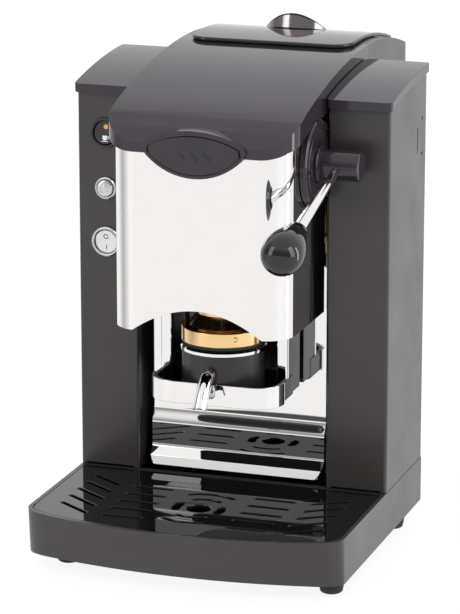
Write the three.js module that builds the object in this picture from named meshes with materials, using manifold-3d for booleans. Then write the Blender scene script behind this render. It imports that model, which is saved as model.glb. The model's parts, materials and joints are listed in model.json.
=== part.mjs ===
// Pod coffee machine: two casing towers on a bowed base, with a chrome head between them.
// A side lever turns a crank that lifts the brass brew head clear of the pod holder.
// Millimetres. X to the right, Y to the back, Z up. Y = 0 is the towers' front face, Z = 0 the table.
import * as THREE from 'three';
import { mergeVertices } from 'three/addons/utils/BufferGeometryUtils.js';
import Module from 'manifold-3d';

const wasm = await Module();
wasm.setup();

// ---- driving dimensions ----
const gap = 0.4;                  // running gap between neighbouring pieces
const wall = 2.5;                 // moulded wall thickness
const sheet = 1.2;                // steel sheet thickness
const footHeight = 10;
const rimZ = 43;                  // top of the base rim and of the drip grille
const towerInner = 70.4;          // inner and outer faces of the towers, from the middle
const towerOuter = 115;
const towerBack = 94.5;
const lidThickness = 6.3;
const lidOverhang = 1.6;
const headHalf = 69;              // half width of the head cover and the rear housing
const shellHalf = 64.5;           // half width of the chrome head shell
const shellFront = -76;
const coverFront = -79;
const seamY = 104;                // head cover in front, rear housing behind
const rearY = 210;
const brewY = -17.4;              // brew axis and lever axis share this depth
const leverZ = 282.2;
const leverTilt = THREE.MathUtils.degToRad(14.3);   // rod below horizontal at rest
const plateY = 13.6;              // front face of the mirror back plate
const cradleHalf = 48.5;
const cradleFront = -48.6;
const cradleBottom = 111;
const cradleTop = 126.6;
const holderTop = 145.6;
const brassBottom = 152.4;
const brassRadius = 30;
const controlX = -94;             // switches and button stand in the left tower's front

const colours = {
  casing: [0x4b4745, 0.5, 0], cover: [0x4a454b, 0.3, 0], gloss: [0x151516, 0.08, 0],
  chrome: [0xe6e6e8, 0.05, 1], steel: [0xb4b6ba, 0.3, 1], brass: [0xc9a050, 0.18, 1],
  rubber: [0x1c1c1c, 0.85, 0], matt: [0x2a2a2b, 0.6, 0], white: [0xe6e4e0, 0.3, 0],
  tank: [0x3a3d42, 0.15, 0], board: [0x1f5a35, 0.6, 0], tube: [0xd8d8d4, 0.4, 0],
};

const machine = new THREE.Group();

function finish(name, geometry, colour) {
  const [color, roughness, metalness] = colours[colour];
  const mesh = new THREE.Mesh(geometry, new THREE.MeshStandardMaterial({ color, roughness, metalness }));
  mesh.name = name;
  machine.add(mesh);
}

// ---- solids from three.js geometry, joined and cut by manifold ----
function solid(geometry) {
  const plain = geometry.clone();
  plain.deleteAttribute('normal');
  plain.deleteAttribute('uv');
  const merged = mergeVertices(plain, 1e-4);
  return new wasm.Manifold(new wasm.Mesh({
    numProp: 3,
    vertProperties: new Float32Array(merged.attributes.position.array),
    triVerts: new Uint32Array(merged.index.array),
  }));
}

function surface(body) {
  const { vertProperties, triVerts } = body.getMesh();
  const geometry = new THREE.BufferGeometry();
  geometry.setAttribute('position', new THREE.BufferAttribute(vertProperties, 3));
  geometry.setIndex(new THREE.BufferAttribute(triVerts, 1));
  geometry.computeVertexNormals();
  return geometry;
}

function join(first, ...others) {
  return others.reduce((body, other) => body.add(other), first);
}

function cut(first, ...others) {
  return others.reduce((body, other) => body.subtract(other), first);
}

// A box given by its lowest and highest corners.
function block(x0, x1, y0, y1, z0, z1) {
  const geometry = new THREE.BoxGeometry(x1 - x0, y1 - y0, z1 - z0);
  return solid(geometry.translate((x0 + x1) / 2, (y0 + y1) / 2, (z0 + z1) / 2));
}

// A plan outline (x, y) raised from z0 to z1.
function raised(shape, z0, z1, curveSegments = 10) {
  const depth = z1 - z0;
  const geometry = new THREE.ExtrudeGeometry(shape, { depth, bevelEnabled: false, curveSegments });
  return solid(geometry.translate(0, 0, z0));
}

// A side outline (y, z) carried from x0 to x1.
function across(shape, x0, x1, curveSegments = 10) {
  const depth = x1 - x0;
  const geometry = new THREE.ExtrudeGeometry(shape, { depth, bevelEnabled: false, curveSegments });
  const turn = new THREE.Matrix4().set(0, 0, 1, x0, 1, 0, 0, 0, 0, 1, 0, 0, 0, 0, 0, 1);
  return solid(geometry.applyMatrix4(turn));
}

// A front outline (x, z) carried from y0 back to y1.
function backward(shape, y0, y1, curveSegments = 10) {
  const depth = y1 - y0;
  const geometry = new THREE.ExtrudeGeometry(shape, { depth, bevelEnabled: false, curveSegments });
  return solid(geometry.rotateX(Math.PI / 2).translate(0, y1, 0));
}

// A profile of [radius, height] pairs turned about +Z. It starts and ends on the axis, or closes.
function turned(profile, segments = 32) {
  const points = profile.map(([radius, height]) => new THREE.Vector2(radius, height));
  return new THREE.LatheGeometry(points, segments).rotateX(Math.PI / 2);
}

// A plain disc or rod from z0 to z1.
function disc(radius, z0, z1, segments = 32) {
  return turned([[0, z0], [radius, z0], [radius, z1], [0, z1]], segments);
}

const alongX = (geometry) => geometry.rotateY(Math.PI / 2);
const alongY = (geometry) => geometry.rotateX(-Math.PI / 2);

function polygon(points) {
  return new THREE.Shape(points.map(([u, v]) => new THREE.Vector2(u, v)));
}

function rectangle(x0, x1, y0, y1, corner) {
  const shape = new THREE.Shape();
  shape.absarc(x1 - corner, y1 - corner, corner, 0, Math.PI / 2);
  shape.absarc(x0 + corner, y1 - corner, corner, Math.PI / 2, Math.PI);
  shape.absarc(x0 + corner, y0 + corner, corner, Math.PI, 1.5 * Math.PI);
  shape.absarc(x1 - corner, y0 + corner, corner, 1.5 * Math.PI, 2 * Math.PI);
  return shape;
}

// A round tube along a smooth path through the given points.
function pipe(points, radius, steps, sides = 4) {
  const path = new THREE.CatmullRomCurve3(points.map((point) => new THREE.Vector3(...point)));
  const section = new THREE.Shape();
  section.absarc(0, 0, radius, 0, 2 * Math.PI);
  return new THREE.ExtrudeGeometry(section, { steps, extrudePath: path, curveSegments: sides });
}

// ---- shared outlines ----
const bowRadius = 330;            // plan radius of the base front
const baseFront = -133;           // at the rim
const bowHalf = 97;               // the bow ends here and the corner begins
const cornerY = -101;
const leanY = -95;                // in front of this the walls lean back towards the underside
const frontLean = 10;             // by this much in the middle

// Plan of the base, moved inwards by inset and cut off square at backY.
function basePlan(inset, backY) {
  const half = towerOuter - inset;
  const front = baseFront + inset;
  const end = bowHalf - inset * 0.6;
  const sweep = Math.asin(end / bowRadius);
  const endY = front + bowRadius * (1 - Math.cos(sweep));
  const controlY = endY + (half - end) * Math.tan(sweep);
  const shape = new THREE.Shape();
  shape.moveTo(half, backY);
  shape.lineTo(-half, backY);
  shape.lineTo(-half, cornerY);
  shape.quadraticCurveTo(-half, controlY, -end, endY);
  shape.absarc(0, front + bowRadius, bowRadius, -Math.PI / 2 - sweep, -Math.PI / 2 + sweep);
  shape.quadraticCurveTo(half, controlY, half, cornerY);
  return shape;
}

// The base plan raised from z0 to z1, with the lean of the front wall.
function leaning(inset, backY, z0, z1) {
  return raised(basePlan(inset, backY), z0, z1).warp((point) => {
    const forward = Math.max(0, (leanY - point[1]) / (leanY - baseFront));
    point[1] += frontLean * forward * (rimZ - point[2]) / (rimZ - footHeight);
  });
}

// Height of the arch that runs over the head and the tank.
const archPeakY = 110;
const archPeakZ = 344.8;
function archZ(y) {
  const bend = y < archPeakY ? 0.00092 : 0.00175;
  const lip = y < -50 ? 9.1 * ((-50 - y) / 29) ** 2 : 0;
  return archPeakZ - bend * (archPeakY - y) ** 2 - lip;
}

// Lower edge of the head cover's skirt.
const skirtZ = (y) => 316 - 20 * ((seamY - y) / (seamY - coverFront)) ** 4.2;

// Top of the tower lids.
const lidZ = (y) => 336 - 0.00099 * (105 - y) ** 2;

// Points of a height function from y0 to y1, lowered by drop.
function heights(height, y0, y1, steps, drop = 0) {
  const points = [];
  for (let i = 0; i <= steps; i += 1) {
    const y = y0 + (y1 - y0) * i / steps;
    points.push([y, height(y) - drop]);
  }
  return points;
}

// Side outline between a lower and an upper run of points, both going backwards.
const between = (lower, upper) => polygon([...lower, ...upper.reverse()]);

// Plan of the head: square back, rounded front corners.
function headPlan(half, front, corner, backY) {
  const shape = new THREE.Shape();
  shape.moveTo(half, backY);
  shape.lineTo(-half, backY);
  shape.absarc(-half + corner, front + corner, corner, Math.PI, 1.5 * Math.PI);
  shape.absarc(half - corner, front + corner, corner, 1.5 * Math.PI, 2 * Math.PI);
  return shape;
}

// Eye-shaped outline of the badge, grown by offset from its inner lens.
const lens = { half: 30, up: 7, down: 12.8, z: 298.6 };
function lensPlan(offset) {
  const upper = (lens.half ** 2 + lens.up ** 2) / (2 * lens.up);
  const lower = (lens.half ** 2 + lens.down ** 2) / (2 * lens.down);
  const upAngle = Math.atan2(upper - lens.up, lens.half);
  const downAngle = Math.atan2(lower - lens.down, lens.half);
  const shape = new THREE.Shape();
  shape.absarc(0, lens.z + lens.up - upper, upper + offset, upAngle, Math.PI - upAngle);
  shape.absarc(-lens.half, lens.z, offset, Math.PI - upAngle, Math.PI + downAngle);
  shape.absarc(0, lens.z - lens.down + lower, lower + offset, Math.PI + downAngle, 2 * Math.PI - downAngle);
  shape.absarc(lens.half, lens.z, offset, -downAngle, upAngle);
  return shape;
}

// ---- base, feet and drip tray ----
const trayBackY = -1.5;           // the grille ends just in front of the towers
const grilleThickness = 3;

function basePan() {
  const outer = join(leaning(0, towerBack, footHeight, rimZ),
    block(-headHalf, headHalf, towerBack - 1, rearY - 2, footHeight, rimZ));
  const floorZ = footHeight + wall;
  const trayBay = leaning(3, trayBackY, floorZ, rimZ + 1);
  const rearBay = join(block(-112, 112, 4, towerBack - 3, floorZ, rimZ + 1),
    block(-headHalf + 3, headHalf - 3, towerBack - 4, rearY - 5, floorZ, rimZ + 1));
  finish('base_pan', surface(cut(outer, trayBay, rearBay)), 'casing');
}

function feet() {
  const profile = [[0, 0], [7.3, 0], [8.2, 1], [9.4, footHeight - gap], [0, footHeight - gap]];
  const places = {
    front_left: [-91.5, -87], front_right: [102.5, -90], middle_left: [-104, 57], middle_right: [104, 57],
    rear_left: [-56, 196], rear_right: [56, 196],
  };
  for (const [place, [x, y]] of Object.entries(places)) {
    finish(`foot_${place}`, turned(profile, 16).translate(x, y, 0), 'rubber');
  }
}

function dripTray() {
  const top = rimZ - grilleThickness - gap;
  const outer = leaning(3.5, trayBackY - 0.5, footHeight + wall + gap, top);
  const inside = leaning(5.5, trayBackY - 2.5, footHeight + wall + gap + 2, top + 1);
  finish('drip_tray', surface(cut(outer, inside)), 'matt');
}

// The grille's pattern: straight slots beside the middle, slanted ones outside, arcs round the drain.
const slotHalf = 1.6;             // half width of a slot
const slotPitch = 16.5;
const slotRows = [0, 1, 2, 3, 4];
const firstSlotY = -104.2;
const drainY = -71.5;

function straightSlot(x0, y0, x1, y1) {
  const angle = Math.atan2(y1 - y0, x1 - x0);
  const slot = new THREE.Shape();
  slot.absarc(x0, y0, slotHalf, angle + Math.PI / 2, angle + 1.5 * Math.PI);
  slot.absarc(x1, y1, slotHalf, angle - Math.PI / 2, angle + Math.PI / 2);
  return slot;
}

// A curved slot about the drain, centred on an angle.
function curvedSlot(radius, half, middle, reach) {
  const slot = new THREE.Shape();
  const end = (angle) => [radius * Math.cos(angle), drainY + radius * Math.sin(angle)];
  const [low, high] = [middle - reach, middle + reach];
  slot.absarc(0, drainY, radius + half, low, high);
  slot.absarc(...end(high), half, high, high + Math.PI);
  slot.absarc(0, drainY, radius - half, high, low, true);
  slot.absarc(...end(low), half, low + Math.PI, low + 2 * Math.PI);
  return slot;
}

function dripGrille() {
  const slots = [];
  for (const side of [-1, 1]) {
    for (const row of slotRows) {
      const y = firstSlotY + slotPitch * row;
      slots.push(straightSlot(side * 31.6, y, side * 59, y));
      slots.push(straightSlot(side * 72.5, y, side * 95, y + 15.5));
    }
    const facing = side * Math.PI / 2;
    slots.push(curvedSlot(20, slotHalf, facing, 0.5));
    slots.push(curvedSlot(31.7, slotHalf, facing, 0.54));
    slots.push(curvedSlot(16.2, 3, facing - Math.PI / 2, 0.32));
  }
  const drain = new THREE.Shape();
  drain.absarc(0, drainY, 8.6, 0, 2 * Math.PI);
  const z = rimZ - grilleThickness;
  const plate = leaning(3.4, trayBackY - 0.4, z, rimZ);
  const holes = slots.map((slot) => raised(slot, z - 1, rimZ + 1, 3));
  holes.push(raised(drain, z - 1, rimZ + 1, 14));
  finish('drip_grille', surface(cut(plate, ...holes)), 'gloss');
}

// ---- towers and their controls ----
const controls = { power: 290, button: 250, brew: 211 };
const rockerBore = 10.2;
const buttonBore = 7;

function towerPlan(inset) {
  return rectangle(towerInner + inset, towerOuter - inset, inset, towerBack - inset, inset ? 1 : 2.2);
}

function towers() {
  const top = between([[-1, rimZ + gap], [towerBack + 1, rimZ + gap]],
    heights(lidZ, -1, towerBack + 1, 10, lidThickness + gap));
  const tube = cut(raised(towerPlan(0), rimZ + gap, lidZ(towerBack), 4),
    raised(towerPlan(wall), rimZ, lidZ(towerBack) + 1, 2),
    block(towerInner + 4, towerOuter - 4, -1, wall + 1, rimZ, rimZ + 1.8));
  const right = tube.intersect(across(top, 0, towerOuter + 1));
  const left = right.mirror([1, 0, 0]);
  const bore = (radius, z) => solid(alongY(disc(radius, -2, 5, 28)).translate(controlX, 0, z));
  finish('tower_left', surface(cut(left, bore(rockerBore, controls.power),
    bore(buttonBore, controls.button), bore(rockerBore, controls.brew))), 'casing');
  const vent = (y, z) => solid(alongX(disc(1.4, 110, 118, 12)).translate(0, y, z));
  finish('tower_right', surface(cut(right, block(110, 118, 70.4, 71.8, 275, 293),
    vent(83, 298), vent(83, 272.6))), 'casing');
}

function towerLids() {
  const y0 = -lidOverhang - 1;
  const y1 = towerBack + lidOverhang;
  const profile = between(heights(lidZ, y0, y1, 10, lidThickness), heights(lidZ, y0, y1, 10));
  const right = across(profile, headHalf + 0.6, towerOuter + lidOverhang);
  finish('lid_right', surface(right), 'casing');
  finish('lid_left', surface(right.mirror([1, 0, 0])), 'casing');
}

// A bezel stands proud of the tower and its barrel reaches back through the panel.
function bezel(name, z, flange, barrel, bore, colour) {
  const body = join(solid(alongY(disc(flange, -2.2, -gap, 28))), solid(alongY(disc(barrel, -1, 16, 24))));
  const inside = solid(alongY(disc(bore, -3, 13, 24)));
  finish(name, surface(cut(body, inside).translate([controlX, 0, z])), colour);
}

// A rocker is a round slice with a shallow V front, tipped so that one half is pressed in.
function rocker(name, z, tilt, colour) {
  const ball = solid(new THREE.SphereGeometry(8.5, 20, 12));
  const side = across(polygon([[3, -9], [3, 9], [-2.6, 9], [-1.5, 0], [-2.6, -9]]), -9, 9);
  const body = ball.intersect(side).rotate([tilt, 0, 0]);
  finish(name, surface(body.translate([controlX, 1.2, z])), colour);
}

function pushButton() {
  const cap = [[0, -3.6], [5, -3.4], [6, -2.6], [6, 8], [0, 8]];
  finish('push_button', alongY(turned(cap, 24)).translate(controlX, 0, controls.button), 'steel');
}

// ---- mirror back plate and chrome head ----
function backPlate() {
  const bend = 6;
  const footTop = rimZ + 2.4;
  const outline = new THREE.Shape();
  outline.moveTo(plateY, 300);
  outline.lineTo(plateY, footTop + bend);
  outline.absarc(plateY - bend, footTop + bend, bend, 0, -Math.PI / 2, true);
  outline.lineTo(1.6, footTop);
  outline.lineTo(1.6, footTop - sheet);
  outline.absarc(plateY - bend, footTop + bend, bend + sheet, -Math.PI / 2, 0);
  outline.lineTo(plateY + sheet, 300);
  const plan = headPlan(66, 1.6, 5, plateY + 2);
  finish('back_plate', surface(across(outline, -66, 66, 6).intersect(raised(plan, 40, 301, 6))), 'chrome');
}

function headShell() {
  const bottom = 169;
  const corner = 21;
  const backY = plateY - gap;
  const band = cut(raised(headPlan(shellHalf, shellFront, corner, backY), bottom, 336),
    raised(headPlan(shellHalf - sheet, shellFront + sheet, corner - sheet, backY + 1), bottom - 1, 337));
  const side = between([[shellFront - 1, bottom], [backY, bottom]], heights(archZ, shellFront - 1, backY, 12, 8));
  const arch = new THREE.Shape();
  arch.moveTo(-47, bottom - 1);
  arch.lineTo(-47, bottom);
  arch.bezierCurveTo(-30, 180, -18, 186, 0, 186);
  arch.bezierCurveTo(18, 186, 30, 180, 47, bottom);
  arch.lineTo(47, bottom - 1);
  const opening = backward(arch, shellFront - 1, shellFront + 3, 8);
  const shaftHole = solid(alongX(disc(12, 60, 68, 24)).translate(0, brewY, leverZ));
  finish('head_shell', surface(cut(band.intersect(across(side, -70, 70)), opening, shaftHole)), 'chrome');
}

const bossRadius = 31;
const lensBrow = 7.2;             // offsets of the brow, the rim and the badge from the inner lens
const lensRim = 6;
const lensBadge = 3.5;

function headCover() {
  const corner = 24;
  const backY = seamY - gap / 2;
  const hood = (inset, drop, skirtDrop) => raised(
    headPlan(headHalf - inset, coverFront + inset, corner - inset, backY + inset), 270, 350)
    .intersect(across(between(heights(skirtZ, -90, seamY, 9, skirtDrop),
      heights(archZ, -90, seamY, 18, drop)), -80, 80));
  const brow = backward(lensPlan(lensBrow), coverFront - 1.6, -58, 8)
    .intersect(block(-50, 50, -90, 0, lens.z, 340));
  const rim = backward(lensPlan(lensRim), coverFront - 1.6, shellFront - gap, 8);
  const hollow = hood(wall, wall, 30);
  const shellRoom = block(-70, 70, shellFront - gap, 0, 270, lens.z + 2);
  const outside = join(hood(0, 0, 0), brow.subtract(shellRoom), rim);
  const badgeRecess = backward(lensPlan(lensBadge + gap), coverFront - 4, coverFront, 8);
  const bossNotch = solid(alongX(disc(bossRadius + gap, 60, 75)).translate(0, brewY, leverZ));
  finish('head_cover', surface(cut(outside, hollow, badgeRecess, bossNotch)), 'cover');
  const badge = backward(lensPlan(lensBadge), coverFront - 2.2, coverFront - 0.3, 8);
  finish('badge', surface(badge), 'cover');
}

// ---- lever ----
const hubEnd = 100;
const rodX = 84;
const crankRadius = 12;
const crankPin = THREE.MathUtils.degToRad(40);    // pin below the axis at rest
const pinRadius = 3;

// Place a shape made along +X at the lever's axis.
const atLever = (geometry) => alongX(geometry).translate(0, brewY, leverZ);

// Lay a shape made along +Z from the lever axis along the rod.
function alongRod(geometry) {
  return geometry.rotateX(Math.PI / 2 + leverTilt).translate(rodX, brewY, leverZ);
}

function lever() {
  const bossProfile = [[12, 64.9], [bossRadius, 64.9], [bossRadius, 68.6], [bossRadius - 1, 69.8],
    [12, 69.8], [12, 64.9]];
  finish('lever_boss', atLever(turned(bossProfile, 40)), 'gloss');
  const hub = solid(atLever(turned([[0, 70.1], [13.7, 70.1], [13.7, 71.6], [10.6, 72.4], [10.6, hubEnd - 1],
    [9.6, hubEnd], [0, hubEnd]], 32)));
  const socket = solid(alongRod(disc(3.4, 8, 14, 20)));
  finish('lever_hub', surface(cut(hub, socket)), 'gloss');
  finish('lever_rod', alongRod(turned([[0, 8.4], [2.9, 8.4], [4.3, 99.2], [0, 99.2]], 16)), 'chrome');
  const knob = [[0, 99.6], [6, 99.6], [6.8, 100.4], [6.8, 103], [7.6, 106], [9.3, 110], [11.5, 115], [13.6, 121],
    [14.9, 127], [15.2, 131.5], [14.5, 137], [12, 141.8], [7.5, 145.3], [0, 146.8]];
  finish('lever_knob', alongRod(turned(knob, 24)), 'gloss');
  finish('lever_shaft', atLever(turned([[0, 26.4], [5, 26.4], [5, 68], [8, 68], [8, 69.7], [0, 69.7]], 20)), 'steel');
  const web = solid(atLever(disc(16.5, 20, 26, 36)));
  const pin = solid(alongX(disc(pinRadius, 10.5, 21, 24))
    .translate(0, brewY - crankRadius * Math.cos(crankPin), leverZ - crankRadius * Math.sin(crankPin)));
  finish('crank', surface(join(web, pin)), 'steel');
}

function shaftBracket() {
  const plate = block(50, 54, -34, plateY - gap, 258, 300);
  const bore = solid(atLever(disc(5.35, 45, 60, 32)));
  finish('shaft_bracket', surface(cut(plate, bore)), 'steel');
}

// ---- brew group ----
const columnInner = 39;
const columnOuter = 47;
const boilerTop = 244;
const atBrew = (geometry) => geometry.translate(0, brewY, 0);

function groupFrame() {
  for (const [name, side] of [['column_left', -1], ['column_right', 1]]) {
    const plan = rectangle(Math.min(side * columnInner, side * columnOuter),
      Math.max(side * columnInner, side * columnOuter), brewY, plateY - gap, 1.6);
    finish(name, surface(raised(plan, cradleBottom + sheet + gap, 250, 3)), 'chrome');
  }
  const bridge = join(block(-62.8, 62.8, 9.6, plateY - gap, 250.4, 257.6), block(50, 62.8, -20, 10, 250.4, 257.6));
  finish('group_bridge', surface(bridge), 'steel');
  const backY = plateY - gap;
  const outer = raised(headPlan(cradleHalf, cradleFront, 20, backY), cradleBottom, cradleTop, 8);
  const inner = raised(headPlan(cradleHalf - sheet, cradleFront + sheet, 20 - sheet, backY + 1),
    cradleBottom + sheet, cradleTop + 1, 8);
  finish('cradle', surface(cut(outer, inner)), 'chrome');
  finish('cradle_screw', alongY(turned([[0, -1.6], [1.4, -1.8], [2.6, -1.5], [3.1, -0.3], [0, -0.3]], 20))
    .translate(1.1, cradleFront, 119.4), 'steel');
}

function podHolder() {
  const bottom = cradleBottom + sheet + gap;
  finish('pod_holder', atBrew(turned([[2.2, bottom], [28, bottom], [28, 118], [29.5, 119.5], [29.5, holderTop],
    [23, holderTop], [21.5, 137], [6, 134.5], [2.2, 134.5], [2.2, bottom]], 36)), 'matt');
  finish('holder_ring', atBrew(turned([[23.4, holderTop + 0.3], [30.5, holderTop + 0.3], [30.5, 148.6],
    [29.6, 149.7], [23.4, 149.7], [23.4, holderTop + 0.3]], 36)), 'chrome');
}

// The spout is an open gutter: a bent tube with its upper side taken away.
function spout() {
  const path = [[0, -47.5, 133.2], [0, -52.5, 132.6], [0, -58.5, 128.6], [0, -65, 120.5], [0, -69.5, 113.6]];
  const outer = solid(pipe(path, 5, 9, 6));
  const first = [0, -45, 133.3];
  const last = [0, -71, 111.2];
  const inner = solid(pipe([first, ...path, last], 3.9, 11, 6));
  const above = across(polygon([[-48.8, 140], [-48.8, 135.2], [-53, 134.6], [-60, 130], [-67, 121.2],
    [-73, 112], [-80, 140]]), -8, 8);
  finish('spout', surface(cut(outer, inner, above)), 'chrome');
}

function brewHead() {
  finish('brew_piston', atBrew(turned([[0, brassBottom + 2], [20, brassBottom + 2], [20, brassBottom],
    [brassRadius, brassBottom], [brassRadius, 163.5], [24.2, 163.5], [18.8, 172], [18.8, 184], [0, 184]], 36)), 'brass');
  finish('piston_gasket', atBrew(turned([[20.4, 150.1], [28.6, 150.1], [28.6, brassBottom - 0.3],
    [20.4, brassBottom - 0.3], [20.4, 150.1]], 28)), 'rubber');
  finish('boiler', atBrew(turned([[0, 184.4], [30, 184.4], [30, 189], [26, 190.5], [26, boilerTop - 6],
    [20, boilerTop], [0, boilerTop]], 28)), 'brass');
  const pinZ = leverZ - crankRadius * Math.sin(crankPin);
  const slotClear = pinRadius + 0.45;
  const plate = block(12, 17, -38, -20.5, boilerTop + gap, pinZ + 8);
  const flange = block(2, 17, -38, -20.5, boilerTop + gap, boilerTop + 3.4);
  const slot = raised(rectangle(-35.2, -22.6, -slotClear, slotClear, slotClear - 0.1), 0, 10, 6);
  const turn = new THREE.Matrix4().set(0, 0, 1, 9, 1, 0, 0, 0, 0, 1, 0, pinZ, 0, 0, 0, 1);
  finish('crank_yoke', surface(cut(join(plate, flange), slot.transform(turn.toArray()))), 'steel');
  finish('thermostat', turned([[0, boilerTop + gap], [8, boilerTop + gap], [8, boilerTop + 4],
    [5, boilerTop + 6], [0, boilerTop + 6]], 24).translate(-12, brewY, 0), 'matt');
}

// ---- rear housing, tank and works ----
const tankHalf = 48;
const tankFront = 112;
const tankBack = 198;
const tankBottom = 112;

function rearHousing() {
  const frontY = seamY + gap / 2;
  const bottomZ = rimZ + gap;
  const outerSide = join(
    across(between([[frontY, bottomZ], [rearY, bottomZ]], heights(archZ, frontY, rearY, 12)), -headHalf, headHalf),
    block(-headHalf, headHalf, 86, frontY + 1, bottomZ, 314));
  const plan = raised(rectangle(-headHalf, headHalf, 60, rearY, 9), 0, 400);
  const innerSide = join(
    across(between([[frontY - 1, bottomZ - 1], [rearY - wall, bottomZ - 1]],
      heights(archZ, frontY - 1, rearY - wall, 12, wall)), -headHalf + wall, headHalf - wall),
    block(-headHalf + wall, headHalf - wall, 80, frontY + 1, bottomZ - 1, 320));
  const mouth = block(-tankHalf - 2, tankHalf + 2, 108, tankBack + 2, 300, 400);
  const inlet = block(-42.5, -13.5, rearY - 5, rearY + 5, 59.5, 80.5);
  finish('rear_housing', surface(cut(outerSide.intersect(plan), innerSide, mouth, inlet)), 'casing');
}

const lidLift = 3.3;              // the tank lid stands this much above the arch
const lidHalf = 61;
const lidFrontY = 81;
const lidBackY = 203;

function tank() {
  const brim = (y) => archZ(y) - wall - 1;
  const box = (inset, bottom, extra) => raised(
    rectangle(-tankHalf + inset, tankHalf - inset, tankFront + inset, tankBack - inset, 8 - inset), bottom, 400, 4)
    .intersect(across(between([[50, bottom], [rearY, bottom]], heights(brim, 50, rearY, 12, -extra)), -70, 70));
  const valve = solid(disc(6, tankBottom - 5, tankBottom + 1, 24).translate(0, 150, 0));
  const body = join(cut(box(0, tankBottom, 0), box(wall, tankBottom + wall, 5)), valve);
  finish('water_tank', surface(body), 'tank');

  const slab = across(between(heights(archZ, 70, 215, 14, -gap), heights(archZ, 70, 215, 14, -lidLift)), -70, 70);
  finish('tank_lid', surface(raised(rectangle(-lidHalf, lidHalf, lidFrontY, lidBackY, 14), 300, 400, 5)
    .intersect(slab)), 'cover');
}

// The finger pull is a hooded half dome. Its scoop runs forwards into a shallow dish on the lid.
const pullY = 148;
const dishY = 134;
function lidPull() {
  const dome = (half, depth, height) => solid(new THREE.SphereGeometry(1, 24, 14).scale(half, depth, height));
  const layer = (low, high) => across(between(heights(archZ, 100, 180, 10, -lidLift - low),
    heights(archZ, 100, 180, 10, -lidLift - high)), -40, 40);
  const baseZ = archZ(pullY) + lidLift - 1;
  const plan = new THREE.Shape();
  plan.absellipse(0, dishY, 20.5, 21, 0, 2 * Math.PI);
  const dish = raised(plan, 300, 400, 12).intersect(layer(gap, gap + 1.6));
  const hood = cut(dome(20.5, 19, 12).translate([0, pullY, baseZ]), layer(-40, gap));
  const scoop = dome(18.5, 19, 10.8).translate([0, dishY, baseZ + 1]).intersect(layer(gap + 0.8, 30));
  finish('lid_pull', surface(cut(join(hood, dish), scoop)), 'gloss');
}

function works() {
  const tubeHole = solid(alongY(disc(5, 95, 105, 20)).translate(26, 0, 77));
  finish('tank_bulkhead', surface(cut(block(-66, 66, 99, 100.2, rimZ + 2, 332), tubeHole)), 'steel');
  const pump = turned([[0, 118], [5, 118], [5, 128], [17, 128], [17, 132], [14, 133], [14, 158], [17, 159],
    [17, 163], [8, 164], [8, 180], [4, 181], [4, 190], [0, 190]], 18);
  finish('pump', alongY(pump).translate(26, 0, 76), 'matt');
  const bracket = join(block(4, 48, 130, 162, 50, 52), block(4, 6, 130, 162, 50, 72), block(46, 48, 130, 162, 50, 72),
    block(22, 30, 142, 150, footHeight + wall + gap, 51));
  finish('pump_bracket', surface(bracket), 'steel');
  finish('suction_tube', pipe([[0, 150, 106.4], [0, 150, 101], [3, 168, 93], [14, 196, 84], [26, 198, 76.5],
    [26, 190.6, 76]], 3, 18), 'tube');
  finish('pressure_tube', pipe([[26, 117.4, 76], [26, 106, 76], [26, 90, 78], [24, 60, 84], [20, 34, 100],
    [18, 24, 140], [18, 22, 200], [18, 22, 296]], 2.5, 24), 'tube');
  const parts = [[30, 50, 60, 90], [58, 72, 70, 96], [28, 46, 110, 136], [56, 74, 120, 150]];
  const chips = parts.map(([y0, y1, z0, z1]) => block(88, 98.5, y0, y1, z0 + 60, z1 + 60));
  const board = join(block(98, 99.6, 22, 80, 110, 220), ...chips);
  finish('control_board', surface(board), 'board');
  const socket = cut(join(block(-42, -14, rearY - 16, rearY, 60, 80), block(-47, -9, rearY + gap, rearY + 2.4, 56, 84),
    block(-40, -16, rearY - 1, rearY + 1, 62, 78)), block(-39, -17, rearY - 12, rearY + 4, 63, 77));
  const blades = [-34, -28, -22].map((x) => block(x - 1, x + 1, rearY - 13, rearY - 4.5, 66.5, 73.5));
  finish('power_inlet', surface(join(socket, ...blades)), 'matt');
}

function rearScrews() {
  const head = [[0, 0.3], [3, 0.3], [3, 1.4], [1.8, 2.2], [0, 2.3]];
  const places = { upper_left: [-58, 300], upper_right: [58, 300], lower_left: [-58, 60], lower_right: [58, 60] };
  for (const [place, [x, z]] of Object.entries(places)) {
    finish(`screw_${place}`, alongY(turned(head, 16)).translate(x, rearY, z), 'steel');
  }
}

basePan();
feet();
dripTray();
dripGrille();
towers();
towerLids();
bezel('power_bezel', controls.power, 11, 9.9, 8.9, 'matt');
bezel('brew_bezel', controls.brew, 11, 9.9, 8.9, 'steel');
bezel('button_bezel', controls.button, 8.2, 6.7, 6.3, 'steel');
rocker('power_rocker', controls.power, -8, 'matt');
rocker('brew_rocker', controls.brew, 8, 'white');
pushButton();
backPlate();
headShell();
headCover();
lever();
shaftBracket();
groupFrame();
podHolder();
spout();
brewHead();
rearHousing();
tank();
lidPull();
works();
rearScrews();

// The origin stands under the middle of the whole machine.
const extent = new THREE.Box3().setFromObject(machine);
machine.position.y = -(extent.min.y + extent.max.y) / 2;

export default machine;
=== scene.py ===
"""Looks of the pod coffee machine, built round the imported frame."""
import json
import math
import bmesh
import bpy
from mathutils import Matrix, Vector


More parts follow.
